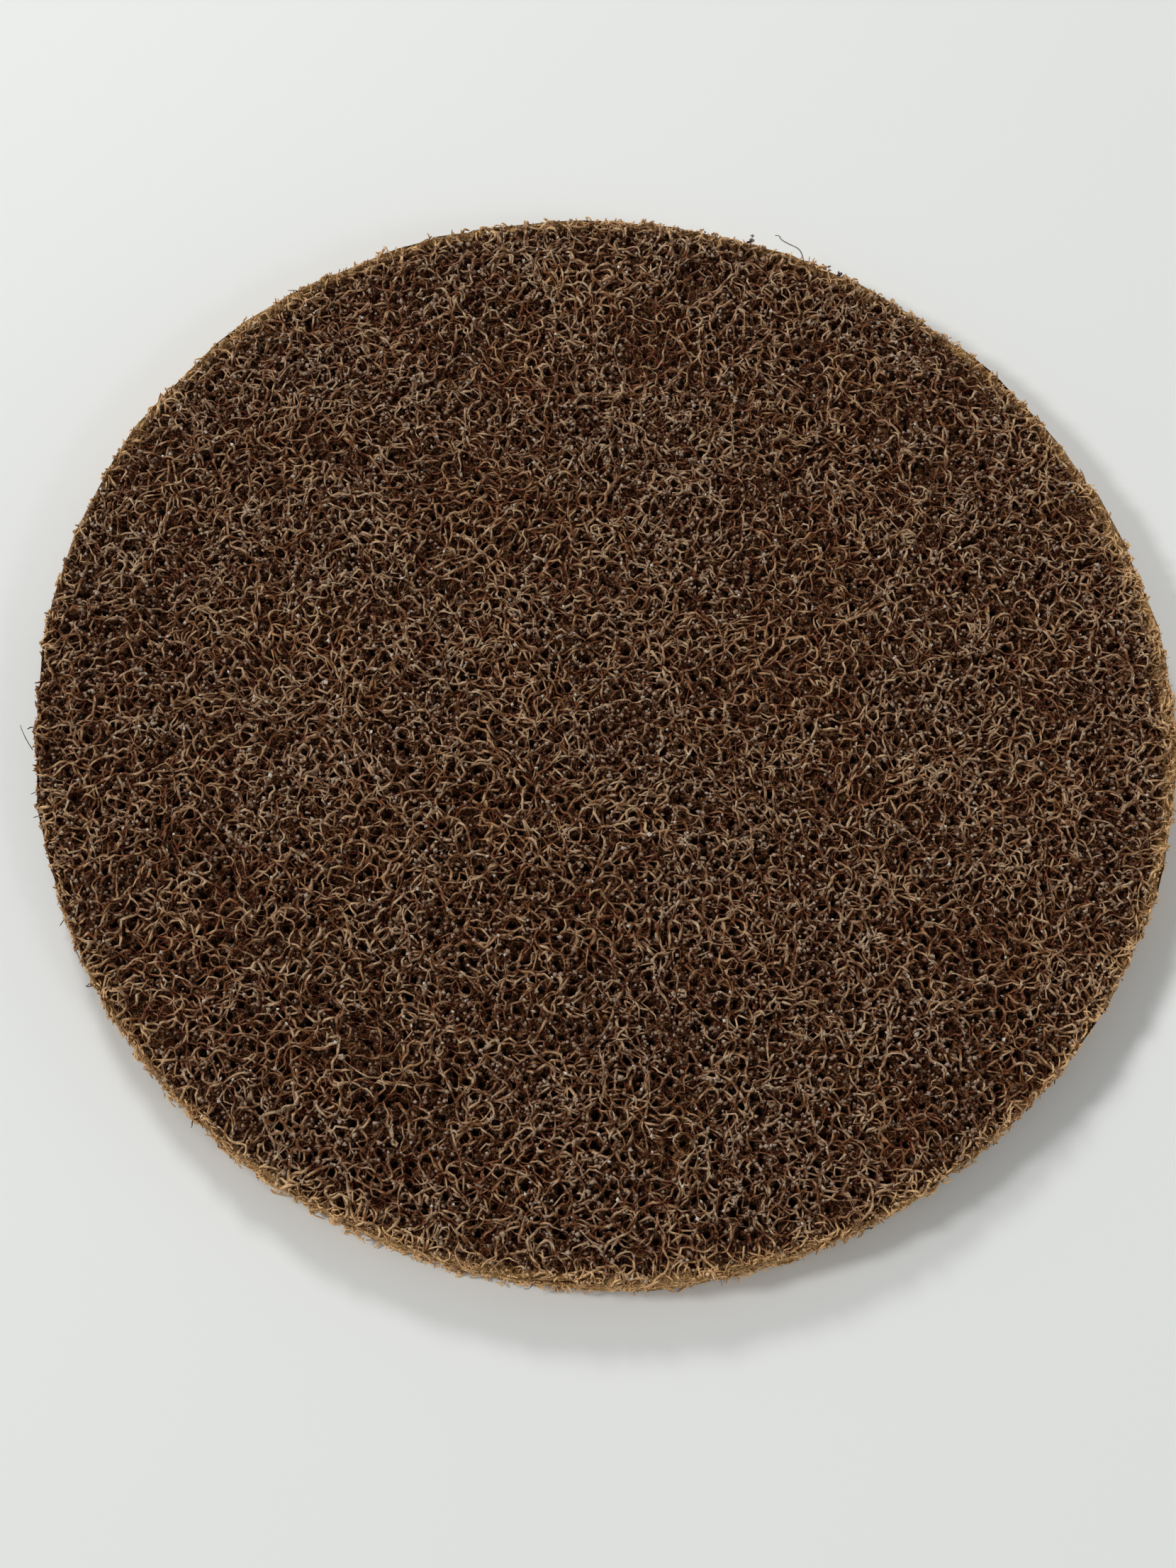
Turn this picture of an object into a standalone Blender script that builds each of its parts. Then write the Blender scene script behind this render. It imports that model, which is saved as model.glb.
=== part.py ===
"""A surface finishing disc: a round pad, die cut from a lofty non-woven web of crimped, resin-bonded strands.

The web is bonded into one piece, so the disc is one solid. Its working face is the open web itself: strands
that curl over each other are crests, lumps of resin bond them where they cross, and the open places between
them are voids that sink into the pad. The edge is the ragged die cut, and the back is flat and matted. The
origin is the middle of the back, with +Z out of the working face.
"""

import math
import random

import bmesh
import bpy
from mathutils import Vector
from mathutils.geometry import delaunay_2d_cdt
from mathutils.kdtree import KDTree

# The cut disc, in metres
DISC_DIAMETER = 0.125
WEB_THICKNESS = 0.006

# The die-cut edge, which leans out towards the back
EDGE_POINT_SPACING = 0.0026
EDGE_FLARE = 0.0009
EDGE_ROUGHNESS = 0.0005
EDGE_DROP = 0.0012
EDGE_ROWS = 3
OUT_OF_ROUND = 0.0004
OUT_OF_ROUND_LOBES = 4

# The strands on the working face
STRAND_LENGTH = 0.020
STRAND_SPACING = 0.0024
STRAND_STEP = 0.0016
STRAND_TRIES = 40
CRIMP_LENGTH = 0.0125
CRIMP_SWAY = 1.2
BOND_RISE = 0.0005

# The voids between the strands
VOID_DEPTH = 0.003
VOID_SPACING = 0.0019
VOID_CLEARANCE = 0.0005

RANDOM_SEED = 7
MERGE_DISTANCE = 0.00004
CREASE_ANGLE = math.radians(40)
WEB_COLOUR = (0.066, 0.036, 0.020, 1.0)
WEB_ROUGHNESS = 0.92


def clear_scene():
    """Starts from nothing."""
    for item in list(bpy.data.objects):
        bpy.data.objects.remove(item, do_unlink=True)


def edge_outline(rng):
    """The cut edge at the face: a circle, a little out of round and roughened by the cut strands."""
    face_radius = DISC_DIAMETER / 2 - EDGE_FLARE - EDGE_ROUGHNESS - OUT_OF_ROUND
    count = round(math.tau * face_radius / EDGE_POINT_SPACING)
    outline = []
    for i in range(count):
        angle = math.tau * i / count
        radius = face_radius + OUT_OF_ROUND * math.cos(OUT_OF_ROUND_LOBES * angle)
        radius += rng.uniform(-EDGE_ROUGHNESS, EDGE_ROUGHNESS)
        outline.append(Vector((radius * math.cos(angle), radius * math.sin(angle))))
    return outline


def strand_path(rng):
    """The middle line of one strand: it sways from side to side by its crimp, and drifts as it goes."""
    radius = DISC_DIAMETER / 2 * math.sqrt(rng.random())
    angle = rng.uniform(0, math.tau)
    point = Vector((radius * math.cos(angle), radius * math.sin(angle)))
    heading = rng.uniform(0, math.tau)
    drift = rng.uniform(-1, 1) / CRIMP_LENGTH
    phase = rng.uniform(0, math.tau)
    path = [point]
    for i in range(round(STRAND_LENGTH / STRAND_STEP)):
        along = i * STRAND_STEP
        sway = CRIMP_SWAY * math.sin(math.tau * along / CRIMP_LENGTH + phase)
        direction = heading + sway + drift * along
        point = point + STRAND_STEP * Vector((math.cos(direction), math.sin(direction)))
        path.append(point)
    return path


def inside_runs(path, limit):
    """The stretches of a path that lie on the disc, each with the one step that crosses the cut edge."""
    runs = []
    run = []
    for point in path:
        if point.length < limit:
            run.append(point)
        elif run:
            runs.append(run + [point])
            run = []
    if run:
        runs.append(run)
    return [run for run in runs if len(run) > 1]


def room_around(path, tree):
    """How far a path keeps from the strands laid so far, on average."""
    return sum(min(tree.find(point.to_3d())[2], STRAND_SPACING) for point in path) / len(path)


def strands(rng):
    """Strands enough to lie one STRAND_SPACING apart, each where it finds the most room in some tries."""
    area = math.pi * (DISC_DIAMETER / 2) ** 2
    count = round(area / (STRAND_SPACING * STRAND_LENGTH))
    limit = DISC_DIAMETER / 2 - EDGE_FLARE
    runs = inside_runs(strand_path(rng), limit)
    while len(runs) < count:
        tree = tree_of([point for run in runs for point in run])
        tries = [run for _ in range(STRAND_TRIES) for run in inside_runs(strand_path(rng), limit)]
        runs.append(max(tries, key=lambda run: room_around(run, tree)))
    return runs


def tree_of(points):
    """A search tree over flat points."""
    tree = KDTree(len(points))
    for i, point in enumerate(points):
        tree.insert(point.to_3d(), i)
    tree.balance()
    return tree


def points_along(line, spacing):
    """Points along a line of points, close enough to stand for it."""
    found = []
    for start, end in zip(line, line[1:]):
        steps = max(1, math.ceil((end - start).length / spacing))
        found += [start.lerp(end, i / steps) for i in range(steps)]
    return found + [line[-1]]


def open_places(rng, outline, runs):
    """Places clear of every strand, each with its way to the nearest one, the roomiest first."""
    lines = runs + [outline + outline[:1]]
    tree = tree_of([point for line in lines for point in points_along(line, VOID_CLEARANCE)])
    reach = min(point.length for point in outline) - VOID_CLEARANCE
    rows = math.ceil(reach / VOID_CLEARANCE)
    places = []
    for row in range(-rows, rows):
        for column in range(-rows, rows):
            point = VOID_CLEARANCE * Vector((column + rng.random(), row + rng.random()))
            if point.length < reach:
                clearance = tree.find(point.to_3d())[2]
                if clearance > VOID_CLEARANCE:
                    places.append((clearance, point))
    return sorted(places, key=lambda place: -place[0])


def voids(rng, outline, runs):
    """The voids, at least one VOID_SPACING apart, each with its way to the nearest strand."""
    chosen = []
    cells = {}
    for clearance, point in open_places(rng, outline, runs):
        column = math.floor(point.x / VOID_SPACING)
        row = math.floor(point.y / VOID_SPACING)
        around = [(column + i, row + j) for i in (-1, 0, 1) for j in (-1, 0, 1)]
        near = [other for cell in around for other in cells.get(cell, [])]
        if all((point - other).length > VOID_SPACING for other in near):
            cells.setdefault((column, row), []).append(point)
            chosen.append((clearance, point))
    return chosen


def face_of_web(rng):
    """The working face as one sheet of triangles, with strands as crests and voids as pits between them."""
    outline = edge_outline(rng)
    runs = strands(rng)
    points = list(outline)
    heights = [WEB_THICKNESS - rng.uniform(0, EDGE_DROP) for _ in outline]
    edges = [(i, (i + 1) % len(outline)) for i in range(len(outline))]
    for run in runs:
        first = len(points)
        points += run
        heights += [WEB_THICKNESS - BOND_RISE] * len(run)
        edges += [(first + i, first + i + 1) for i in range(len(run) - 1)]
    for clearance, point in voids(rng, outline, runs):
        points.append(point)
        heights.append(WEB_THICKNESS - VOID_DEPTH * min(1, clearance / (VOID_SPACING / 2)))
    rim = list(range(len(outline)))
    places, _, faces, sources, _, owners = delaunay_2d_cdt(points, edges, [rim], 0, MERGE_DISTANCE)
    bm = bmesh.new()
    corners = []
    for place, source in zip(places, sources):
        # A corner without a source is where two strands cross, and their bond stands highest
        height = min(heights[i] for i in source) if source else WEB_THICKNESS
        corners.append(bm.verts.new((place.x, place.y, height)))
    for face, owner in zip(faces, owners):
        if owner:
            bm.faces.new([corners[i] for i in face])
    cut_off = [corner for corner in bm.verts if not corner.link_faces]
    bmesh.ops.delete(bm, geom=cut_off, context="VERTS")
    return bm


def add_edge_and_back(bm, rng):
    """Carries the face's outline down a rough, leaning wall to the flat back."""
    rim = [edge for edge in bm.edges if edge.is_boundary]
    for row in range(1, EDGE_ROWS + 1):
        grown = bmesh.ops.extrude_edge_only(bm, edges=rim)["geom"]
        rim = [item for item in grown if isinstance(item, bmesh.types.BMEdge)]
        height = WEB_THICKNESS * (1 - row / EDGE_ROWS)
        waver = EDGE_ROUGHNESS if row < EDGE_ROWS else 0
        for corner in [item for item in grown if isinstance(item, bmesh.types.BMVert)]:
            outwards = EDGE_FLARE / EDGE_ROWS + rng.uniform(-EDGE_ROUGHNESS, EDGE_ROUGHNESS) / 2
            corner.co.xy += outwards * corner.co.xy.normalized()
            corner.co.z = height + rng.uniform(-waver, waver)
    bmesh.ops.holes_fill(bm, edges=rim)
    bmesh.ops.recalc_face_normals(bm, faces=bm.faces)


def centre_outline(bm):
    """Puts the middle of the disc's outline on the axis."""
    low = Vector([min(corner.co[i] for corner in bm.verts) for i in range(2)])
    high = Vector([max(corner.co[i] for corner in bm.verts) for i in range(2)])
    bmesh.ops.translate(bm, verts=bm.verts, vec=-((low + high) / 2).to_3d())


def web_material():
    """Brown mineral-filled resin over nylon strands."""
    material = bpy.data.materials.new("bonded_web")
    material.use_nodes = True
    shader = material.node_tree.nodes["Principled BSDF"]
    shader.inputs["Base Color"].default_value = WEB_COLOUR
    shader.inputs["Roughness"].default_value = WEB_ROUGHNESS
    shader.inputs["Metallic"].default_value = 0.0
    return material


def build_web_disc():
    """The whole disc as one closed solid."""
    rng = random.Random(RANDOM_SEED)
    bm = face_of_web(rng)
    add_edge_and_back(bm, rng)
    centre_outline(bm)
    mesh = bpy.data.meshes.new("web_disc")
    bm.to_mesh(mesh)
    bm.free()
    mesh.shade_smooth()
    mesh.set_sharp_from_angle(angle=CREASE_ANGLE)
    mesh.materials.append(web_material())
    disc = bpy.data.objects.new("web_disc", mesh)
    bpy.context.scene.collection.objects.link(disc)
    return disc


clear_scene()
build_web_disc()
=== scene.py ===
"""A surface finishing disc of bonded non-woven web, lying on a pale floor with its open face up."""

import math

import bmesh
import bpy
import numpy as np
from mathutils import Matrix, Vector, noise
from mathutils.geometry import delaunay_2d_cdt


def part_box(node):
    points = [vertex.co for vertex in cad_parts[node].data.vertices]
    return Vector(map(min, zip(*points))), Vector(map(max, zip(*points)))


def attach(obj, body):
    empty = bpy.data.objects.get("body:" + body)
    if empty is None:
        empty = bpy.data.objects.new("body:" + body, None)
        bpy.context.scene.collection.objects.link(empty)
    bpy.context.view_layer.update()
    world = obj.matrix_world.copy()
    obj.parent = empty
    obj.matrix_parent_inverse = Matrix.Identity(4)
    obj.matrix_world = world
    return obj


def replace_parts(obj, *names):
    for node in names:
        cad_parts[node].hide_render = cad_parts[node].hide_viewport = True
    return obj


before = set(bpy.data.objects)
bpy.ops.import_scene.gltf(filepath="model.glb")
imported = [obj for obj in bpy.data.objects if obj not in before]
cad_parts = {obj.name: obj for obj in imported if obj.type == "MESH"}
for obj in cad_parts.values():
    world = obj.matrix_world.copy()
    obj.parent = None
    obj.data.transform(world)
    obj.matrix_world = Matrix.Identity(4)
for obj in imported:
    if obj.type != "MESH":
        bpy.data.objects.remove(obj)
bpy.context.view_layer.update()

# The matted middle of the web: nylon strands and resin, bonded so closely that no light gets through.
# It is laid and cured with the rest of the web in one sheet, and the die cuts it at the same edge.
disc_low, disc_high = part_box("web_disc")
DISC_RADIUS = (disc_high.x - disc_low.x + disc_high.y - disc_low.y) / 4
WEB_THICKNESS = disc_high.z

# The die-cut edge leans, and is out of round by some lobes, each with a rise and a turn in degrees
EDGE_FLARE = 0.00035
EDGE_LOBES = [
    (2, 0.00009, -83),
    (3, 0.00039, 17),
    (5, 0.00014, 4),
]
EDGE_TEAR_AT_FOOT = 0.00004
EDGE_TEAR_AT_FACE = 0.00012
EDGE_TEAR_COUNTS = (17, 37, 61, 83, 109, 137, 173, 223)
EDGE_TEAR_SLANT = 700

CORE_TOP = 0.0046
CORE_BOTTOM = 0.0005
CORE_SWELL = 0.0004
CORE_INSET = 0.00045
CORE_WALL_ROWS = 8
CORE_WALL_WAVER = 0.00022
CORE_RIM_POINTS = 1000
CORE_RIM_RISE = 0.0004
# The rough band just inside the rim
CORE_BAND_POINTS = 3 * CORE_RIM_POINTS
CORE_BAND_NEAREST = 0.0003
CORE_BAND_FARTHEST = 0.0014
CORE_BAND_DROP = 0.0002

# The open voids of the web, and the pits that they leave in the core
VOID_SPACING = 0.0013
VOID_SMALLEST = 0.00032
VOID_LARGEST = 0.00066
PIT_DEPTH = 0.0024
PIT_SIDES = 6
PIT_TURN = 0.4
PIT_NARROWEST = 0.7
PIT_WIDEST = 1.1
MERGE_DISTANCE = 0.00004

# The die cut leaves nylon bare and golden: wholly below one height, and in part above another.
# The golden ring sits a little off the disc's middle.
GOLD_SHADE = (0.89, 0.56, 0.26)
GOLD_LOWEST = 0.0030
GOLD_HIGHEST = 0.0056
GOLD_AT_FACE = 0.6
GOLD_SHIFT = (0.0003, 0.0002, 0)

# The matted web's colours and patterns, with painted shade in its voids, its pits and its farther net
NET_SWAY_SCALE = 0.8
NET_STRAND_MIDDLE = 0.35
NET_SHADES = [(0.35, (0.135, 0.044, 0.010)), (0.65, (0.290, 0.155, 0.070))]
FAR_NET_PAINTED_SHADE = (0.078, 0.022, 0.005)
PAINTED_VOID_SHADE = (0.024, 0.004, 0.0006)
PAINTED_PIT_SHADE = (0.016, 0.003, 0.0005)
BARE_SHADE = (0.450, 0.240, 0.080)
STONE_SHADES = [(0, (0.130, 0.080, 0.048)), (1, (0.420, 0.320, 0.240))]
STONE_SCALE = 1900
STONE_SHARE = 0.42
STONE_EDGE = 0.42
STONE_MIDDLE = 0.25
MOTTLE_SCALE = 2600
BACK_BAND_LOW = 0.0001
BACK_BAND_HIGH = 0.0005
CORE_GOLD_WAVER = 0.0016
CORE_GOLD_DEPTH = 0.0006
FAR_NET_HEIGHT = 0.5
STONE_HEIGHT = 0.8
CORE_RELIEF = 0.00025
CORE_ROUGHNESS = 0.75


def add_node(tree, kind, inputs, **settings):
    """Adds a shader node. Each input gets its value, or the socket that feeds it."""
    node = tree.nodes.new("ShaderNode" + kind)
    for name, value in settings.items():
        setattr(node, name, value)
    for name, value in inputs.items():
        if isinstance(value, bpy.types.NodeSocket):
            tree.links.new(value, node.inputs[name])
        else:
            node.inputs[name].default_value = value
    return node


def add_noise(tree, place, scale, detail):
    """A soft random pattern from 0 to 1."""
    return add_node(tree, "TexNoise", {"Vector": place, "Scale": scale, "Detail": detail}).outputs["Fac"]


def add_range(tree, value, low, high, to_low=0, to_high=1, smooth=False):
    """Stretches a value from one range to another, and keeps it inside."""
    inputs = {"Value": value, "From Min": low, "From Max": high, "To Min": to_low, "To Max": to_high}
    how = "SMOOTHSTEP" if smooth else "LINEAR"
    return add_node(tree, "MapRange", inputs, interpolation_type=how).outputs["Result"]


def add_math(tree, operation, *values):
    """One step of arithmetic on numbers and sockets."""
    return add_node(tree, "Math", dict(enumerate(values)), operation=operation).outputs[0]


def add_mix(tree, share, first, second, how="MIX"):
    """Mixes two colours, each a shade or a socket, by the share of the second."""
    first, second = [(*side, 1) if isinstance(side, tuple) else side for side in (first, second)]
    inputs = {"Factor": share, "A": first, "B": second}
    return add_node(tree, "Mix", inputs, data_type="RGBA", blend_type=how).outputs["Result"]


def add_ramp(tree, value, stops, how="LINEAR"):
    """Turns a value from 0 to 1 into a colour, by stops that are each a position and a shade."""
    node = add_node(tree, "ValToRGB", {"Fac": value})
    node.color_ramp.interpolation = how
    elements = node.color_ramp.elements
    while len(elements) < len(stops):
        elements.new(1)
    for i, (position, shade) in enumerate(stops):
        elements[i].position = position
        elements[i].color = (*shade, 1)
    return node.outputs["Color"]


def new_material(name, specular=None):
    """A material, its node tree, its shader, and the places on the piece that its patterns follow."""
    material = bpy.data.materials.new(name)
    material.use_nodes = True
    tree = material.node_tree
    shader = tree.nodes["Principled BSDF"]
    if specular is not None:
        shader.inputs["Specular IOR Level"].default_value = specular
    return material, tree, shader, tree.nodes.new("ShaderNodeTexCoord").outputs["Object"]


def finish_material(tree, shader, colour, height, relief):
    """Wires the colour to the shader, and a bump whose height is a pattern times the relief."""
    bump = add_node(tree, "Bump", {"Strength": 1, "Distance": relief, "Height": height})
    tree.links.new(colour, shader.inputs["Base Color"])
    tree.links.new(bump.outputs["Normal"], shader.inputs["Normal"])


def gold_share(tree, place, level, pattern, waver, inner, outer):
    """How golden the die cut leaves a place: from none at the inner radius, and more of it low down."""
    inputs = {0: place, 1: (1, 1, 0), 2: GOLD_SHIFT}
    flat = add_node(tree, "VectorMath", inputs, operation="MULTIPLY_ADD").outputs["Vector"]
    away = add_node(tree, "VectorMath", {0: flat}, operation="LENGTH").outputs["Value"]
    at_edge = add_range(tree, add_math(tree, "MULTIPLY_ADD", pattern, waver, away), inner, outer)
    low_down = add_range(tree, level, GOLD_HIGHEST, GOLD_LOWEST, GOLD_AT_FACE)
    return add_math(tree, "MULTIPLY", at_edge, low_down)


def net_of_strands(tree, place, scale, width, waver, seed):
    """A mask of thin crooked strands that meet in a net, 1 along their middles and 0 in the voids."""
    inputs = {"Vector": place, "W": seed, "Scale": scale * NET_SWAY_SCALE, "Detail": 1}
    sway = add_node(tree, "TexNoise", inputs, noise_dimensions="4D").outputs["Color"]
    inputs = {0: sway, 1: (waver, waver, waver), 2: place}
    bent = add_node(tree, "VectorMath", inputs, operation="MULTIPLY_ADD").outputs["Vector"]
    inputs = {"Vector": bent, "Scale": scale}
    cells = add_node(tree, "TexVoronoi", inputs, feature="DISTANCE_TO_EDGE")
    return add_range(tree, cells.outputs["Distance"], width, width * NET_STRAND_MIDDLE, smooth=True)


def matted_material():
    """Dark clogged web: nets of strand at two depths, the farther in painted shade, over voids painted
    black as shade, with grey grain between.
    """
    material, tree, shader, place = new_material("matted_web", specular=0.1)
    near = net_of_strands(tree, place, scale=1150, width=0.105, waver=0.0009, seed=2)
    far = net_of_strands(tree, place, scale=1700, width=0.11, waver=0.0007, seed=5)
    mottle = add_noise(tree, place, MOTTLE_SCALE, 3)
    # Painted shade: the voids between the strands are painted near black, and the farther net darker than
    # the nearer
    far_net_over_void_shade = add_mix(tree, far, PAINTED_VOID_SHADE, FAR_NET_PAINTED_SHADE)
    colour = add_mix(tree, near, far_net_over_void_shade, add_ramp(tree, mottle, NET_SHADES))

    # Grey grain between the strands
    specks = add_node(tree, "TexVoronoi", {"Vector": place, "Scale": STONE_SCALE})
    stone = add_range(tree, specks.outputs["Distance"], STONE_EDGE, STONE_MIDDLE, smooth=True)
    choice = add_node(tree, "SeparateColor", {"Color": specks.outputs["Color"]})
    some = add_math(tree, "LESS_THAN", choice.outputs["Red"], STONE_SHARE)
    stones = add_math(tree, "MULTIPLY", stone, some)
    colour = add_mix(tree, stones, colour, add_ramp(tree, choice.outputs["Green"], STONE_SHADES))

    # Painted shade: the pits are painted nearly black inside, but the back isn't
    level = add_node(tree, "SeparateXYZ", {"Vector": place}).outputs["Z"]
    pit_shade_depth = add_range(tree, level, CORE_TOP, CORE_TOP - PIT_DEPTH / 3)
    off_back = add_range(tree, level, CORE_BOTTOM + BACK_BAND_LOW, CORE_BOTTOM + BACK_BAND_HIGH)
    colour = add_mix(tree, add_math(tree, "MULTIPLY", pit_shade_depth, off_back), colour, PAINTED_PIT_SHADE)

    # The wall that the die cut is bare golden nylon
    gold = add_mix(tree, far, BARE_SHADE, GOLD_SHADE)
    inner = DISC_RADIUS - CORE_GOLD_DEPTH
    golden = gold_share(tree, place, level, mottle, CORE_GOLD_WAVER, inner, DISC_RADIUS)
    colour = add_mix(tree, golden, colour, gold)

    # The nearer net stands highest, then the grain, then the farther net
    height = add_math(tree, "MULTIPLY_ADD", far, FAR_NET_HEIGHT, near)
    height = add_math(tree, "MULTIPLY_ADD", stones, STONE_HEIGHT, height)
    finish_material(tree, shader, colour, height, CORE_RELIEF)
    shader.inputs["Roughness"].default_value = CORE_ROUGHNESS
    return material


rng = np.random.default_rng(41)
void_rows = 2 * math.ceil(DISC_RADIUS / VOID_SPACING) + 6
void_grid = VOID_SPACING * (np.arange(void_rows) - void_rows // 2)
void_x = void_grid[:, None] + VOID_SPACING * rng.uniform(0, 1, (void_rows, void_rows))
void_y = void_grid[None, :] + VOID_SPACING * rng.uniform(0, 1, (void_rows, void_rows))
void_radius = rng.uniform(VOID_SMALLEST, VOID_LARGEST, (void_rows, void_rows))
tear_phases = rng.uniform(0, math.tau, len(EDGE_TEAR_COUNTS))


def edge_radius(x, y, z):
    """How far the web reaches towards a place: a little out of round, torn, and less at the face."""
    angle = np.arctan2(y, x)
    reach = DISC_RADIUS - EDGE_FLARE * z / WEB_THICKNESS
    for lobes, rise, turn in EDGE_LOBES:
        reach = reach + rise * np.cos(lobes * (angle - math.radians(turn)))
    tear = EDGE_TEAR_AT_FOOT + (EDGE_TEAR_AT_FACE - EDGE_TEAR_AT_FOOT) * z / WEB_THICKNESS
    for i, waves in enumerate(EDGE_TEAR_COUNTS):
        slant = EDGE_TEAR_SLANT * (1 if i % 2 else -1)
        reach = reach + tear * np.sin(waves * angle + slant * z + tear_phases[i])
    return reach


def core_points():
    """Places and heights of the core's corners: its rim, a pit at each void, and a rough band."""
    angles = np.arange(CORE_RIM_POINTS) * math.tau / CORE_RIM_POINTS
    outline = edge_radius(np.cos(angles), np.sin(angles), WEB_THICKNESS) - CORE_INSET
    core_radius = outline.min()
    places = [outline[:, None] * np.column_stack([np.cos(angles), np.sin(angles)])]
    heights = [CORE_TOP + CORE_RIM_RISE + rng.uniform(-CORE_SWELL, CORE_SWELL, CORE_RIM_POINTS)]
    centres = np.column_stack([void_x.ravel(), void_y.ravel()])
    radii = void_radius.ravel()
    near = np.hypot(*centres.T) < core_radius - 2 * VOID_LARGEST
    centres, radii = centres[near], radii[near]
    places.append(centres)
    heights.append(CORE_TOP - PIT_DEPTH * radii / VOID_LARGEST)
    for i in range(PIT_SIDES):
        turn = math.tau * i / PIT_SIDES + rng.uniform(-PIT_TURN, PIT_TURN, len(radii))
        reach = radii * rng.uniform(PIT_NARROWEST, PIT_WIDEST, len(radii))
        places.append(centres + reach[:, None] * np.column_stack([np.cos(turn), np.sin(turn)]))
        heights.append(CORE_TOP + rng.uniform(-CORE_SWELL, CORE_SWELL, len(radii)))
    band = rng.integers(0, CORE_RIM_POINTS, CORE_BAND_POINTS)
    reach = outline[band] - rng.uniform(CORE_BAND_NEAREST, CORE_BAND_FARTHEST, len(band))
    places.append(reach[:, None] * np.column_stack([np.cos(angles[band]), np.sin(angles[band])]))
    heights.append(CORE_TOP - CORE_BAND_DROP + rng.uniform(-CORE_SWELL, 2 * CORE_SWELL, len(band)))
    return np.concatenate(places), np.concatenate(heights)


places, heights = core_points()
flat = delaunay_2d_cdt([Vector(place) for place in places], [], [], 0, MERGE_DISTANCE)
bm = bmesh.new()
corners = [bm.verts.new((at.x, at.y, heights[source[0]])) for at, source in zip(flat[0], flat[3])]
for triangle in flat[2]:
    bm.faces.new([corners[i] for i in triangle])
rim = [edge for edge in bm.edges if edge.is_boundary]
for row in range(1, CORE_WALL_ROWS + 1):
    grown = bmesh.ops.extrude_edge_only(bm, edges=rim)["geom"]
    rim = [item for item in grown if isinstance(item, bmesh.types.BMEdge)]
    for corner in [item for item in grown if isinstance(item, bmesh.types.BMVert)]:
        corner.co.z += (CORE_BOTTOM - corner.co.z) / (CORE_WALL_ROWS + 1 - row)
        reach = edge_radius(corner.co.x, corner.co.y, corner.co.z) - CORE_INSET
        reach += rng.uniform(-CORE_WALL_WAVER, CORE_WALL_WAVER)
        corner.co.xy = reach * corner.co.xy.normalized()
bmesh.ops.holes_fill(bm, edges=rim)
bmesh.ops.recalc_face_normals(bm, faces=bm.faces)
core = bpy.data.objects.new("web_core", bpy.data.meshes.new("web_core"))
bpy.context.scene.collection.objects.link(core)
bm.to_mesh(core.data)
bm.free()
core.data.shade_smooth()
core.data.materials.append(matted_material())
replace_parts(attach(core, "root"), "web_disc")

# The strands: crimped nylon staple, about 0.26 mm thick with its coat of resin, laid at random by air.
# They curl over each other in three depths, bonded where they cross, and the die cuts them at the edge.
STRAND_THICKNESS = 0.00026
STRAND_SIDES = 3
STRAND_DRIFT = 120
THICKNESS_SPREAD = 0.25
END_TAPER = 0.6
END_DIP = 0.0011
END_REACH = 0.0016
SHORTEST_RUN = 4
WEAVE_SHORTEST = 0.0018
WEAVE_LONGEST = 0.0040
VOID_MIDDLE = 0.05
LOOSEST_ROUND_VOID = 0.7
CRIMPS = [
    # shortest, longest, share of the sway
    (0.0022, 0.0045, 0.6),
    (0.0050, 0.0110, 0.9),
]
LAYERS = [
    # name, strands, length, step, lowest, highest, wave, sway
    ("face_strands", 1780, 0.0100, 0.0005, 0.00520, 0.00550, 0.00035, 1.05),
    ("crossing_strands", 1780, 0.0100, 0.0005, 0.00510, 0.00540, 0.00038, 1.05),
    ("lower_strands", 1010, 0.0100, 0.0005, 0.00470, 0.00520, 0.00025, 0.9),
]

# How the face rounds over at the cut edge
EDGE_DROP = 0.0004
EDGE_SHOULDER = 0.0013

# The web's colours and patterns, with painted shade ever darker and redder downwards between two heights
STRAND_SHADES = [
    (0.345, 0.194, 0.088),
    (0.445, 0.270, 0.134),
    (0.530, 0.350, 0.192),
    (0.385, 0.222, 0.106),
    (0.565, 0.394, 0.228),
    (0.420, 0.222, 0.090),
    (0.470, 0.292, 0.150),
    (0.500, 0.326, 0.176),
]
GRAIN_SHADE = (0.415, 0.300, 0.205)
GRAIN_SCALE = 3200
GRAIN_IN_CLOGS = 0.09
GRAIN_FIRST = 0.50
GRAIN_FULL = 0.72
COAT_SCALE = 1000
COAT_THIN = 0.58
COAT_THICK = 0.38
THICK_COAT_TINT = (0.36, 0.195, 0.092)
DEEP_SHADE_TINT = (0.52, 0.20, 0.08)
FULL_SHADE_LEVEL = 0.0044
NO_SHADE_LEVEL = 0.0056
GLOSSIEST = 0.38
DULLEST = 0.85
CLOG_SCALE = 95
CLOG_SWING = 0.9
FINE_CLOG_SCALE = 240
FINE_CLOG_SWING = 0.5


def select_only(piece):
    """Makes one object the selected and active one."""
    bpy.ops.object.select_all(action="DESELECT")
    piece.select_set(True)
    bpy.context.view_layer.objects.active = piece


def clogging(x, y):
    """How much resin and grain fills the web at a place, from 0 for open loops to 1 for a matted patch."""
    broad = noise.noise(Vector((x, y, 0.3)) * CLOG_SCALE)
    narrow = noise.noise(Vector((x, y, 0.7)) * FINE_CLOG_SCALE)
    return min(1, max(0, 0.5 + CLOG_SWING * broad + FINE_CLOG_SWING * narrow))


def mark_clogging(piece):
    """Keeps the clogging at each corner of a piece's mesh, for its material to read."""
    marks = piece.data.attributes.new("clogging", "FLOAT", "POINT")
    corners = np.empty(len(piece.data.vertices) * 3, np.float32)
    piece.data.vertices.foreach_get("co", corners)
    marks.data.foreach_set("value", [clogging(x, y) for x, y, _ in corners.reshape(-1, 3)])


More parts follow.
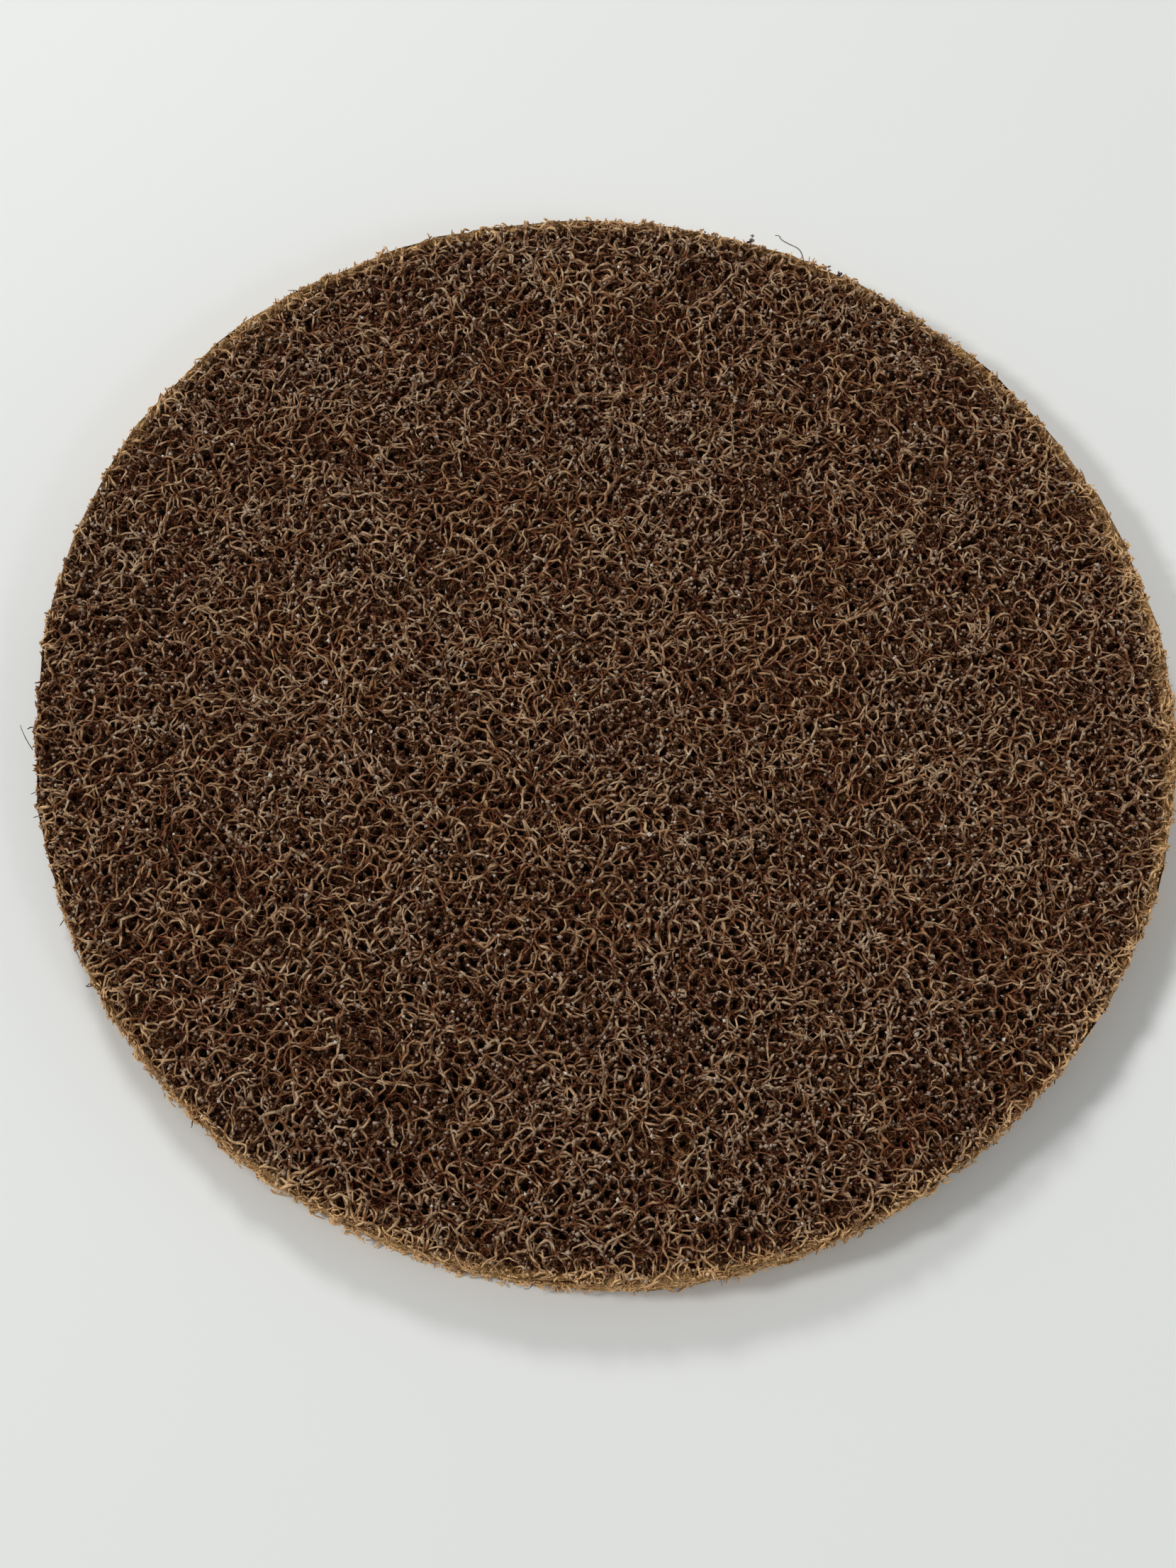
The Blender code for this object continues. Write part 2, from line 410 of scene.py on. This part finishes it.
def web_material(
    name, shades, gold_depth, relief, grain_shade=GRAIN_SHADE, gold_shade=GOLD_SHADE, deep_shade_tint=DEEP_SHADE_TINT
):
    """Resin-coated nylon: painted shade darker and redder deep down, grey with grain, and golden at the
    cut.
    """
    material, tree, shader, place = new_material(name, specular=0.25)

    # Each strand has a brown of its own
    island = add_node(tree, "NewGeometry", {}).outputs["Random Per Island"]
    stops = [(i / len(shades), shade) for i, shade in enumerate(shades)]
    colour = add_ramp(tree, island, stops, "CONSTANT")

    # Mineral grain speckles the strands, most where the web is clogged
    speckle = add_noise(tree, place, GRAIN_SCALE, 3)
    clog = add_node(tree, "Attribute", {}, attribute_name="clogging").outputs["Fac"]
    grain = add_math(tree, "MULTIPLY_ADD", clog, GRAIN_IN_CLOGS, speckle)
    grain = add_range(tree, grain, GRAIN_FIRST, GRAIN_FULL)
    colour = add_mix(tree, grain, colour, grain_shade)

    # The coat of resin is thick and dark in some stretches of a strand, and thin and light in others
    coat = add_noise(tree, place, COAT_SCALE, 2)
    thick = add_range(tree, coat, COAT_THIN, COAT_THICK)
    colour = add_mix(tree, thick, colour, THICK_COAT_TINT, "MULTIPLY")

    # Painted shade: deep strands are painted darker and much redder, as the shade between the strands
    # above
    level = add_node(tree, "SeparateXYZ", {"Vector": place}).outputs["Z"]
    shade_depth = add_range(tree, level, NO_SHADE_LEVEL, FULL_SHADE_LEVEL, smooth=True)
    for _ in range(2):
        colour = add_mix(tree, shade_depth, colour, deep_shade_tint, "MULTIPLY")

    # The die cut leaves the outermost strands golden
    outer = DISC_RADIUS + gold_depth
    golden = gold_share(tree, place, level, coat, gold_depth * 2, DISC_RADIUS, outer)
    colour = add_mix(tree, golden, colour, gold_shade)

    # Cured resin is half dull and half glossy, and lumpy with grain
    finish_material(tree, shader, colour, speckle, relief)
    dullness = add_range(tree, speckle, 0.3, 0.7, GLOSSIEST, DULLEST)
    tree.links.new(dullness, shader.inputs["Roughness"])
    return material


def around_voids(x, y, share):
    """Bends strands round the open voids of the web: each place near a void moves out to its rim."""
    column = np.clip((x / VOID_SPACING).astype(int) + void_rows // 2, 2, void_rows - 3)
    row = np.clip((y / VOID_SPACING).astype(int) + void_rows // 2, 2, void_rows - 3)
    best = np.full(x.shape, np.inf)
    centre_x, centre_y = np.zeros(x.shape), np.zeros(x.shape)
    for i in (-2, -1, 0, 1):
        for j in (-2, -1, 0, 1):
            own_x = void_x[column + i, row + j]
            own_y = void_y[column + i, row + j]
            clearance = np.hypot(x - own_x, y - own_y) / void_radius[column + i, row + j]
            closer = clearance < best
            best = np.where(closer, clearance, best)
            centre_x = np.where(closer, own_x, centre_x)
            centre_y = np.where(closer, own_y, centre_y)
    # Far from a void nothing moves, and near its very middle the move is kept finite
    best = np.maximum(best, VOID_MIDDLE)
    moved = 1 + share * ((1 + best**-3) ** (1 / 3) - 1)
    return centre_x + (x - centre_x) * moved, centre_y + (y - centre_y) * moved


def crimped_paths(count, length, step, low, high, wave, sway, dip):
    """Middle lines of strands that sway by their crimp, weave up and down, and dip at their ends."""
    points = round(length / step) + 1
    along = np.arange(points) * step
    shape = (count, 1)
    away = (DISC_RADIUS + length / 3) * np.sqrt(rng.uniform(0, 1, shape))
    around = rng.uniform(0, math.tau, shape)
    heading = rng.uniform(0, math.tau, shape) + rng.normal(0, STRAND_DRIFT, shape) * along
    for shortest, longest, share in CRIMPS:
        crimp = rng.uniform(shortest, longest, shape)
        swing = share * sway * np.abs(rng.normal(0, 1, shape))
        phase = rng.uniform(0, math.tau, shape)
        heading = heading + swing * np.sin(math.tau * along / crimp + phase)
    middle = points // 2
    x = np.cumsum(np.cos(heading), axis=1) * step
    y = np.cumsum(np.sin(heading), axis=1) * step
    x += away * np.cos(around) - x[:, middle : middle + 1]
    y += away * np.sin(around) - y[:, middle : middle + 1]
    weave = rng.uniform(WEAVE_SHORTEST, WEAVE_LONGEST, shape)
    z = rng.uniform(low, high, shape)
    z = z + wave * np.sin(math.tau * along / weave + rng.uniform(0, math.tau, shape))
    to_end = np.minimum(along, length - along)
    z -= dip * np.clip(1 - to_end / END_REACH, 0, 1) ** 2
    x, y = around_voids(x, y, rng.uniform(LOOSEST_ROUND_VOID, 1, shape))
    return x, y, z


def sink_at_edge(x, y, z):
    """The face rounds over towards the cut edge."""
    near = np.clip((np.hypot(x, y) - DISC_RADIUS + EDGE_SHOULDER) / EDGE_SHOULDER, 0, 1)
    return z - EDGE_DROP * near**2 * z / WEB_THICKNESS


def cut_runs(x, y, z):
    """The stretches of each strand that lie inside the cut edge."""
    z = sink_at_edge(x, y, z)
    inside = np.hypot(x, y) < edge_radius(x, y, z)
    runs = []
    for i in range(len(x)):
        line = np.column_stack([x[i], y[i], z[i]])
        breaks = np.flatnonzero(np.diff(inside[i].astype(int))) + 1
        for run, kept in zip(np.split(line, breaks), np.split(inside[i], breaks)):
            if kept[0] and len(run) >= SHORTEST_RUN:
                runs.append(run)
    return runs


def add_run(curve, run, radii):
    """Adds one strand, as a line of points with a thickness at each."""
    spline = curve.splines.new("POLY")
    spline.points.add(len(run) - 1)
    spline.points.foreach_set("co", np.column_stack([run, np.ones(len(run))]).ravel())
    spline.points.foreach_set("radius", radii)


def strands_as_mesh(name, runs, thickness, sides, lumpiness):
    """Turns lines of points into one mesh of thin lumpy tubes with closed ends."""
    profile_curve = bpy.data.curves.new("strand_section", "CURVE")
    section = profile_curve.splines.new("POLY")
    section.points.add(sides - 1)
    for i in range(sides):
        angle = math.tau * i / sides
        section.points[i].co = (math.cos(angle), math.sin(angle), 0, 1)
    section.use_cyclic_u = True
    profile = bpy.data.objects.new("strand_section", profile_curve)
    bpy.context.scene.collection.objects.link(profile)
    curve = bpy.data.curves.new(name, "CURVE")
    curve.dimensions = "3D"
    curve.bevel_mode = "OBJECT"
    curve.bevel_object = profile
    curve.use_fill_caps = True
    for run in runs:
        own = thickness / 2 * rng.uniform(1 - THICKNESS_SPREAD, 1 + THICKNESS_SPREAD)
        radii = own * (1 + lumpiness * rng.uniform(-1, 1, len(run)))
        radii[0] *= END_TAPER
        radii[-1] *= END_TAPER
        add_run(curve, run, radii)
    piece = bpy.data.objects.new(name, curve)
    bpy.context.scene.collection.objects.link(piece)
    select_only(piece)
    bpy.ops.object.convert(target="MESH")
    piece = bpy.context.object
    bpy.data.objects.remove(profile)
    bpy.ops.object.shade_smooth()
    mark_clogging(piece)
    return piece


strand_material = web_material("coated_strand", STRAND_SHADES, gold_depth=0.0029, relief=0.00022)
laid = []
for name, count, length, step, low, high, wave, sway in LAYERS:
    runs = cut_runs(*crimped_paths(count, length, step, low, high, wave, sway, END_DIP))
    laid += runs
    strands = strands_as_mesh(name, runs, STRAND_THICKNESS, STRAND_SIDES, lumpiness=0.35)
    strands.data.materials.append(strand_material)
    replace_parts(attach(strands, "root"), "web_disc")

# Resin lumps: beads of cured resin full of mineral grain, stuck to the strands and to each other.
# They were sprayed on wet and cured in place, and they gather where the web clogs.
LUMP_COUNT = 24400
LUMP_TRIES = 44000
LUMP_LOWEST = 0.0047
LUMP_HIGHEST = 0.0057
LUMP_SMALLEST = 0.00015
LUMP_LARGEST = 0.00030
MOST_SQUASHED = 0.65
MOST_STRETCHED = 1.3
LUMP_SHADES = [
    (0.275, 0.185, 0.122),
    (0.315, 0.226, 0.156),
    (0.365, 0.280, 0.208),
    (0.285, 0.190, 0.122),
    (0.410, 0.325, 0.252),
    (0.315, 0.200, 0.114),
]


def lumps_as_mesh(name, places, sizes, jaggedness):
    """One mesh of small irregular stones, each a squashed and jagged one of eight faces."""
    corners = np.array([(1, 0, 0), (0, 1, 0), (-1, 0, 0), (0, -1, 0), (0, 0, 1), (0, 0, -1)])
    faces = [(i, (i + 1) % 4, 4) for i in range(4)] + [((i + 1) % 4, i, 5) for i in range(4)]
    count = len(places)
    turned = np.empty((count, len(corners), 3))
    for i in range(count):
        turn = Matrix.Rotation(rng.uniform(0, math.tau), 3, Vector(rng.normal(0, 1, 3)).normalized())
        jagged = corners * rng.uniform(1 - jaggedness, 1 + jaggedness, (len(corners), 1))
        turned[i] = (jagged * rng.uniform(MOST_SQUASHED, MOST_STRETCHED, 3)) @ np.array(turn)
    turned = turned * sizes[:, None, None] + places[:, None, :]
    all_faces = np.array(faces)[None] + np.arange(count)[:, None, None] * len(corners)
    mesh = bpy.data.meshes.new(name)
    mesh.from_pydata(turned.reshape(-1, 3), [], all_faces.reshape(-1, 3))
    piece = bpy.data.objects.new(name, mesh)
    bpy.context.scene.collection.objects.link(piece)
    return piece


away = DISC_RADIUS * np.sqrt(rng.uniform(0, 1, LUMP_TRIES))
around = rng.uniform(0, math.tau, LUMP_TRIES)
lump_x, lump_y = away * np.cos(around), away * np.sin(around)
share = np.array([clogging(x, y) for x, y in zip(lump_x, lump_y)])
kept = np.argsort(share + rng.uniform(0, 1, LUMP_TRIES))[-LUMP_COUNT:]
lump_x, lump_y = around_voids(lump_x[kept], lump_y[kept], 1)
lump_z = rng.uniform(LUMP_LOWEST, LUMP_HIGHEST, LUMP_COUNT)
held_in = (edge_radius(lump_x, lump_y, lump_z) - LUMP_LARGEST) / np.hypot(lump_x, lump_y)
lump_x, lump_y = lump_x * np.minimum(held_in, 1), lump_y * np.minimum(held_in, 1)
places = np.column_stack([lump_x, lump_y, sink_at_edge(lump_x, lump_y, lump_z)])
sizes = rng.uniform(LUMP_SMALLEST, LUMP_LARGEST, LUMP_COUNT)
places[:, 2] = np.minimum(places[:, 2], WEB_THICKNESS - sizes)
lumps = lumps_as_mesh("resin_lumps", places, sizes, jaggedness=0.4)
lumps.data.shade_smooth()
mark_clogging(lumps)
lumps.data.materials.append(
    web_material("grain_filled_resin", LUMP_SHADES, gold_depth=0.0012, relief=0.00015)
)
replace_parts(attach(lumps, "root"), "web_disc")

# Bare grains: pale mineral grains that the resin holds but doesn't cover, so that they glint.
# They sit on the highest strands, where use and handling rub the resin off first.
GLINT_COUNT = 1500
GLINT_SIZE = 0.00018
GLINT_SPREAD = 0.3
GLINT_LOWEST = 0.0050
GLINT_SCATTER = 0.00010
GLINT_RISE = 0.00012
GLINT_SHADES = [(0, (0.36, 0.27, 0.19)), (1, (0.60, 0.55, 0.47))]
GLINT_CHIP_SCALE = 9000
GLINT_RELIEF = 0.00002
GLINT_ROUGHNESS = 0.35


def glint_material():
    """Broken mineral: a brown or a pale one at each grain, half glossy and finely chipped."""
    material, tree, shader, place = new_material("bare_grain")
    island = add_node(tree, "NewGeometry", {}).outputs["Random Per Island"]
    colour = add_ramp(tree, island, GLINT_SHADES)
    chips = add_noise(tree, place, GLINT_CHIP_SCALE, 2)
    finish_material(tree, shader, colour, chips, GLINT_RELIEF)
    shader.inputs["Roughness"].default_value = GLINT_ROUGHNESS
    return material


strand_points = np.concatenate(laid)
high_points = strand_points[strand_points[:, 2] > GLINT_LOWEST]
chosen = rng.choice(len(high_points), GLINT_COUNT)
places = high_points[chosen] + rng.normal(0, GLINT_SCATTER, (GLINT_COUNT, 3))
places[:, 2] = np.minimum(places[:, 2] + GLINT_RISE, WEB_THICKNESS)
sizes = rng.uniform(1 - GLINT_SPREAD, 1 + GLINT_SPREAD, GLINT_COUNT) * GLINT_SIZE
grains = lumps_as_mesh("bare_grains", places, sizes, jaggedness=0.3)
grains.data.materials.append(glint_material())
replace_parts(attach(grains, "root"), "web_disc")

# The cut edge: golden strand ends and loops that the die cut through, standing out of the wall.
# They are the same strands as the face's, with less resin on them.
FRINGE_COUNT = 6400
FRINGE_LENGTH = 0.0018
FRINGE_STEP = 0.00045
FRINGE_THICKNESS = 0.00021
FRINGE_LOWEST = 0.0003
FRINGE_THICKEST = 0.0048
FRINGE_DROP = 0.0006
FRINGE_NEAREST = 0.0002
FRINGE_DEPTH = 0.0008
FRINGE_REACH = 0.00010
# How the strands lie along the wall: their middle heading, its spread, their climb, and their bends
FRINGE_HEADING = 1.45
FRINGE_STRAY = 0.45
FRINGE_CLIMB = 1.4
FRINGE_CURL = 700
FRINGE_TILT = 500
FRINGE_SHAKE = 0.12
FLOOR_CLEARANCE = 0.0002
FRINGE_SHADES = [
    (0.56, 0.32, 0.130),
    (0.44, 0.23, 0.085),
    (0.70, 0.44, 0.200),
    (0.34, 0.17, 0.062),
    (0.80, 0.56, 0.300),
    (0.50, 0.28, 0.110),
]


def fringe_runs(count):
    """Short strands that wander along the wall, up and down and in and out."""
    runs = []
    points = round(FRINGE_LENGTH / FRINGE_STEP) + 1
    for _ in range(count):
        angle = rng.uniform(0, math.tau)
        z = rng.triangular(FRINGE_LOWEST, FRINGE_THICKEST, WEB_THICKNESS - FRINGE_DROP)
        away = edge_radius(math.cos(angle), math.sin(angle), z)
        away -= rng.uniform(FRINGE_NEAREST, FRINGE_DEPTH)
        spot = np.array([away * math.cos(angle), away * math.sin(angle), z])
        heading = angle + rng.choice((-1, 1)) * rng.normal(FRINGE_HEADING, FRINGE_STRAY)
        climb = rng.uniform(-FRINGE_CLIMB, FRINGE_CLIMB)
        turn = rng.normal(0, FRINGE_CURL)
        tilt = rng.normal(0, FRINGE_TILT)
        run = [spot]
        for _ in range(points - 1):
            heading += turn * FRINGE_STEP + rng.normal(0, FRINGE_SHAKE)
            climb += tilt * FRINGE_STEP
            level = math.cos(climb)
            way = np.array([level * math.cos(heading), level * math.sin(heading), math.sin(climb)])
            spot = spot + FRINGE_STEP * way
            spot[2] = min(max(spot[2], FLOOR_CLEARANCE), WEB_THICKNESS - FRINGE_DROP / 2)
            run.append(spot)
        run = np.array(run)
        reach = edge_radius(run[:, 0], run[:, 1], run[:, 2]) + rng.uniform(0, FRINGE_REACH)
        kept = np.hypot(run[:, 0], run[:, 1]) < reach
        last = len(run) if kept.all() else int(np.argmin(kept))
        if last > 2:
            runs.append(run[:last])
    return runs


runs = fringe_runs(FRINGE_COUNT)
fringe = strands_as_mesh("edge_fringe", runs, FRINGE_THICKNESS, STRAND_SIDES, lumpiness=0.2)
fringe.data.materials.append(
    web_material("cut_strand", FRINGE_SHADES, gold_depth=0.0022, relief=0.00005)
)
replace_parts(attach(fringe, "root"), "web_disc")

# Loose hairs: a few fine fibres that the resin never held, caught in the cut edge.
# The longest is curly and grey and stands out over the floor. Beads of resin cling to the end of the
# next one, and to the edge beside it.
HAIR_THICKNESS = 0.00011
HAIR_SIDES = 4
LONG_HAIR = [
    (0.01100, 0.06290, 0.0050),
    (0.01150, 0.06285, 0.0052),
    (0.01172, 0.06225, 0.0053),
    (0.01277, 0.06172, 0.0054),
    (0.01400, 0.06134, 0.0054),
    (0.01451, 0.06054, 0.0053),
    (0.01480, 0.05960, 0.0051),
    (0.01512, 0.05887, 0.0047),
]
SHORT_HAIR = [
    (0.01369, 0.06006, 0.0048),
    (0.01495, 0.06010, 0.0050),
    (0.01590, 0.05990, 0.0050),
    (0.01680, 0.05966, 0.0049),
    (0.01745, 0.05975, 0.0047),
]
LEFT_HAIR = [
    (-0.06190, -0.01240, 0.0040),
    (-0.06150, -0.01310, 0.0042),
    (-0.06085, -0.01400, 0.0042),
    (-0.05995, -0.01500, 0.0040),
]
HAIR_SHADES = [
    (0.150, 0.130, 0.135),
    (0.190, 0.165, 0.160),
    (0.120, 0.095, 0.090),
    (0.210, 0.150, 0.100),
]
HAIR_GRAIN_SHADE = (0.24, 0.20, 0.18)
HAIR_EDGE_SHADE = (0.26, 0.21, 0.18)
# The many short ones that stand out of the wall
STUB_COUNT = 40
STUB_LENGTH = 0.0013
STUB_STEPS = 5
STUB_ROOT = 0.0006
STUB_LOWEST = 0.0010
STUB_DROP = 0.0008
STUB_STRAY = 0.7
STUB_LOWEST_CLIMB = -0.5
STUB_HIGHEST_CLIMB = 0.3
STUB_BEND = 0.35
# Each bead is a cluster of lumps
BEAD_PLACES = [
    (0.01745, 0.05975, 0.0048),
    (0.00830, 0.06150, 0.0053),
    (0.01920, 0.05890, 0.0051),
]
BEAD_LUMPS = 9
BEAD_SIZE = 0.00027
BEAD_SMALLEST = 0.5
BEAD_SCATTER = 0.00018


def rounded(points):
    """A hair's line with its corners rounded."""
    line = np.array(points)
    for _ in range(2):
        near_start = 0.75 * line[:-1] + 0.25 * line[1:]
        near_end = 0.25 * line[:-1] + 0.75 * line[1:]
        between = np.stack([near_start, near_end], axis=1).reshape(-1, 3)
        line = np.concatenate([line[:1], between, line[-1:]])
    return line


def stub():
    """A short bent hair that stands out of the cut edge."""
    angle = rng.uniform(0, math.tau)
    z = rng.uniform(STUB_LOWEST, WEB_THICKNESS - STUB_DROP)
    away = edge_radius(math.cos(angle), math.sin(angle), z) - STUB_ROOT
    heading = angle + rng.normal(0, STUB_STRAY)
    climb = rng.uniform(STUB_LOWEST_CLIMB, STUB_HIGHEST_CLIMB)
    line = [np.array([away * math.cos(angle), away * math.sin(angle), z])]
    for _ in range(STUB_STEPS):
        heading += rng.normal(0, STUB_BEND)
        way = np.array([math.cos(heading), math.sin(heading), math.sin(climb)])
        spot = line[-1] + STUB_LENGTH / STUB_STEPS * way
        spot[2] = max(spot[2], HAIR_THICKNESS)
        line.append(spot)
    return np.array(line)


hair_runs = [rounded(line) for line in (LONG_HAIR, SHORT_HAIR, LEFT_HAIR)]
hair_runs += [stub() for _ in range(STUB_COUNT)]
hairs = strands_as_mesh("loose_hairs", hair_runs, HAIR_THICKNESS, HAIR_SIDES, lumpiness=0.1)
hair_material = web_material(
    "loose_hair",
    HAIR_SHADES,
    gold_depth=0.0001,
    relief=0.00002,
    grain_shade=HAIR_GRAIN_SHADE,
    gold_shade=HAIR_EDGE_SHADE,
)
hairs.data.materials.append(hair_material)
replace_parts(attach(hairs, "root"), "web_disc")

clusters = [rng.normal(0, BEAD_SCATTER, (BEAD_LUMPS, 3)) + place for place in BEAD_PLACES]
places = np.concatenate(clusters)
sizes = rng.uniform(BEAD_SMALLEST, 1, len(places)) * BEAD_SIZE
beads = lumps_as_mesh("hair_beads", places, sizes, jaggedness=0.3)
beads.data.shade_smooth()
mark_clogging(beads)
beads.data.materials.append(hair_material)
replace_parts(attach(beads, "root"), "web_disc")

# The back: the same web, pressed flat and matted where it lay on the belt while the resin cured.
# Its strands lie level and lighter, because little grain reached them.
FELT_THICKNESS = 0.00038
FELT_SHADES = [
    (0.34, 0.20, 0.090),
    (0.27, 0.155, 0.070),
    (0.40, 0.25, 0.120),
    (0.22, 0.125, 0.060),
]
# The back's strands get no painted shade
NO_PAINTED_SHADE = (1, 1, 1)
felt_paths = crimped_paths(
    count=850, length=0.0100, step=0.00080, low=0.00026, high=0.00045, wave=0.00003, sway=0.7, dip=0
)
felt = strands_as_mesh("back_felt", cut_runs(*felt_paths), FELT_THICKNESS, STRAND_SIDES, lumpiness=0.15)
felt.data.materials.append(
    web_material("pressed_strand", FELT_SHADES, gold_depth=0.0016, relief=0.00005, deep_shade_tint=NO_PAINTED_SHADE)
)
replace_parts(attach(felt, "root"), "web_disc")

# The floor, the lights and the camera. The floor is the pale smooth table that the disc lies on.
# The strongest lamp stands at the left, and the others fill in from the far side and the right.
FLOOR_SIZE = 3.0
FLOOR_SHADE = (0.80, 0.81, 0.79)
FLOOR_ROUGHNESS = 0.6
ROOM_SHADE = (0.97, 0.99, 1.0)
ROOM_LIGHT = 0.355
LAMPS = [
    # name, azimuth, elevation, distance, size, power
    ("left_lamp", 188, 40, 1.8, 0.32, 13.8),
    ("far_lamp", 119, 38, 1.4, 0.30, 7.5),
    ("near_lamp", -31, 38, 1.8, 0.36, 2.8),
    ("side_fill", -12, 14, 1.8, 0.90, 4.6),
]
LENS = 53.7
NEAREST_SEEN = 0.01
CAMERA_ELEVATION = math.radians(68.9)
CAMERA_ROLL = math.radians(8.85)
CAMERA_DISTANCE = 0.2559
CAMERA_TARGET = Vector((-0.00088, -0.00751, 0))

bpy.ops.object.select_all(action="DESELECT")
bpy.ops.mesh.primitive_plane_add(size=FLOOR_SIZE, location=(0, 0, 0))
floor = bpy.context.object
floor.name = "floor"
floor_finish = bpy.data.materials.new("pale_table")
floor_finish.use_nodes = True
floor_shader = floor_finish.node_tree.nodes["Principled BSDF"]
floor_shader.inputs["Base Color"].default_value = (*FLOOR_SHADE, 1)
floor_shader.inputs["Roughness"].default_value = FLOOR_ROUGHNESS
floor.data.materials.append(floor_finish)

for name, azimuth, elevation, distance, size, power in LAMPS:
    lamp_data = bpy.data.lights.new(name, "AREA")
    lamp_data.shape = "DISK"
    lamp_data.size = size
    lamp_data.energy = power
    lamp = bpy.data.objects.new(name, lamp_data)
    bpy.context.scene.collection.objects.link(lamp)
    turn, rise = math.radians(azimuth), math.radians(elevation)
    way = Vector((math.cos(rise) * math.cos(turn), math.cos(rise) * math.sin(turn), math.sin(rise)))
    lamp.location = distance * way
    lamp.rotation_euler = lamp.location.to_track_quat("Z", "Y").to_euler()

world = bpy.data.worlds.new("room")
bpy.context.scene.world = world
world.use_nodes = True
world.node_tree.nodes["Background"].inputs["Color"].default_value = (*ROOM_SHADE, 1)
world.node_tree.nodes["Background"].inputs["Strength"].default_value = ROOM_LIGHT
bpy.context.scene.view_settings.view_transform = "Standard"

camera_data = bpy.data.cameras.new("camera")
camera_data.lens = LENS
camera_data.clip_start = NEAREST_SEEN
camera = bpy.data.objects.new("camera", camera_data)
bpy.context.scene.collection.objects.link(camera)
from_target = Vector((0, -math.cos(CAMERA_ELEVATION), math.sin(CAMERA_ELEVATION)))
facing = from_target.to_track_quat("Z", "Y").to_matrix().to_4x4()
camera.matrix_world = (
    Matrix.Translation(CAMERA_TARGET + CAMERA_DISTANCE * from_target)
    @ facing
    @ Matrix.Rotation(CAMERA_ROLL, 4, "Z")
)
bpy.context.scene.camera = camera
